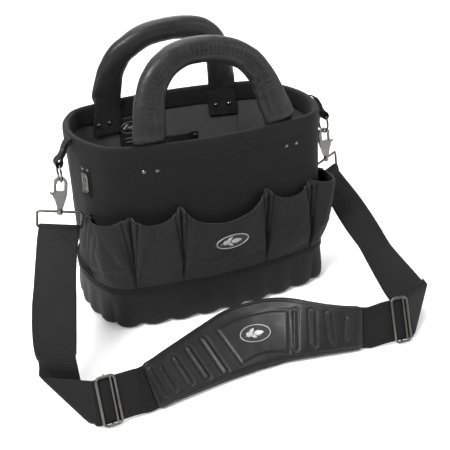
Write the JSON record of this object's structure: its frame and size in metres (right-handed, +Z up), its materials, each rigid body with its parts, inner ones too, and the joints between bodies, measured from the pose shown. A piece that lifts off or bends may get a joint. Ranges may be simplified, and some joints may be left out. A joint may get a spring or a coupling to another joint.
{
  "type": "garden tool bag",
  "caption": "Oval open-top garden tool bag in black fabric with a moulded boot, outside pockets, two padded arch handles and a padded shoulder strap on swivel hooks.",
  "frame": {"origin": "centre of the base, on the floor", "axes": "+Z up, +X along the oval's long side, -Y the front with the badge"},
  "size_m": [0.4979, 0.3958, 0.3548],
  "materials": {
    "black_fabric": "woven polyester, matt",
    "black_webbing": "ribbed webbing, matt",
    "grey_lining": "plain woven lining, matt",
    "boot_rubber": "moulded, matt",
    "board_plastic": "matt",
    "black_vinyl": "grained vinyl, satin",
    "foam_rubber": "closed-cell foam",
    "nickel": "plated, satin",
    "badge_grey": "embossed plate, satin"
  },
  "bodies": {
    "root": {"outer_shell": "black_fabric", "lining": "grey_lining", "bottom_board": "board_plastic", "rubber_boot": "boot_rubber", "boot_hem": "black_webbing", "rim_binding": "black_webbing", "pocket_end_left": "black_fabric", "pocket_left": "black_fabric", "pocket_centre": "black_fabric", "pocket_right": "black_fabric", "pocket_end_right": "black_fabric", "hem_end_left": "black_webbing", "hem_left": "black_webbing", "hem_centre": "black_webbing", "hem_right": "black_webbing", "hem_end_right": "black_webbing", "back_pocket_left": "black_fabric", "back_pocket_centre": "black_fabric", "back_pocket_right": "black_fabric", "front_badge": "badge_grey", "inner_pocket": "grey_lining", "inner_tool_loop": "black_webbing", "inner_label": "badge_grey", "loop_rivets": "nickel", "front_handle_tabs": "black_webbing", "rear_handle_tabs": "black_webbing", "front_rivets": "nickel", "rear_rivets": "nickel", "left_ring_tab": "black_webbing", "right_ring_tab": "black_webbing", "left_tab_rivets": "nickel", "right_tab_rivets": "nickel", "tape_tab": "black_webbing", "tape_clip": "nickel", "tape_rivets": "nickel"},
    "front_handle": {"front_grip": "black_vinyl", "front_core": "foam_rubber"},
    "rear_handle": {"rear_grip": "black_vinyl", "rear_core": "foam_rubber"},
    "left_ring_body": {"left_ring": "nickel"},
    "right_ring_body": {"right_ring": "nickel"},
    "strap": {"strap_webbing": "black_webbing", "pad_cover": "black_vinyl", "pad_backing": "foam_rubber", "pad_badge": "badge_grey", "left_strap_ring": "nickel", "right_strap_ring": "nickel", "left_swivel_stud": "nickel", "right_swivel_stud": "nickel"},
    "left_hook_body": {"left_hook": "nickel", "left_gate_pin": "nickel"},
    "right_hook_body": {"right_hook": "nickel", "right_gate_pin": "nickel"},
    "left_gate_body": {"left_gate": "nickel"},
    "right_gate_body": {"right_gate": "nickel"},
    "left_slide_body": {"left_slide": "nickel"},
    "right_slide_body": {"right_slide": "nickel"}
  },
  "joints": [
    {"name": "front_handle_bend", "type": "hinge", "parent": "root", "child": "front_handle", "pos_m": [0, -0.095, 0.2445], "axis": [1, 0, 0], "range_deg": [-18, 12], "stiffness_Nm_per_rad": 1.2},
    {"name": "rear_handle_bend", "type": "hinge", "parent": "root", "child": "rear_handle", "pos_m": [0, 0.095, 0.2445], "axis": [-1, 0, 0], "range_deg": [-18, 12], "stiffness_Nm_per_rad": 1.2},
    {"name": "left_ring_turn", "type": "hinge", "parent": "root", "child": "left_ring_body", "pos_m": [-0.183, -0.021, 0.201], "axis": [1, 0, 0], "continuous": true},
    {"name": "right_ring_turn", "type": "hinge", "parent": "root", "child": "right_ring_body", "pos_m": [0.183, -0.021, 0.201], "axis": [1, 0, 0], "continuous": true},
    {"name": "strap_swing", "type": "hinge", "parent": "root", "child": "strap", "pos_m": [0, -0.021, 0.201], "axis": [-1, 0, 0], "range_deg": [0, 100]},
    {"name": "left_hook_swivel", "type": "hinge", "parent": "strap", "child": "left_hook_body", "pos_m": [-0.183, -0.02187, 0.18903], "axis": [0.1705, 0.0702, 0.9829], "range_deg": [-20, 20]},
    {"name": "left_gate_open", "type": "hinge", "parent": "left_hook_body", "child": "left_gate_body", "pos_m": [-0.19202, -0.02303, 0.17389], "axis": [-0.012, 0.9975, -0.0692], "range_deg": [0, 11], "stiffness_Nm_per_rad": 0.02, "springref_deg": -8.59},
    {"name": "right_hook_swivel", "type": "hinge", "parent": "strap", "child": "right_hook_body", "pos_m": [0.183, -0.02187, 0.18903], "axis": [-0.0796, 0.0696, 0.9944], "range_deg": [-20, 20]},
    {"name": "right_gate_open", "type": "hinge", "parent": "right_hook_body", "child": "right_gate_body", "pos_m": [0.19059, -0.02302, 0.17313], "axis": [-0.0056, -0.9976, 0.0694], "range_deg": [0, 11], "stiffness_Nm_per_rad": 0.02, "springref_deg": -8.59},
    {"name": "left_adjust", "type": "slide", "parent": "strap", "child": "left_slide_body", "axis": [0.9999, 0.0158, 0], "range_m": [0, 0.014]},
    {"name": "right_adjust", "type": "slide", "parent": "strap", "child": "right_slide_body", "axis": [-0.995, 0.0998, 0], "range_m": [0, 0.012]}
  ]
}
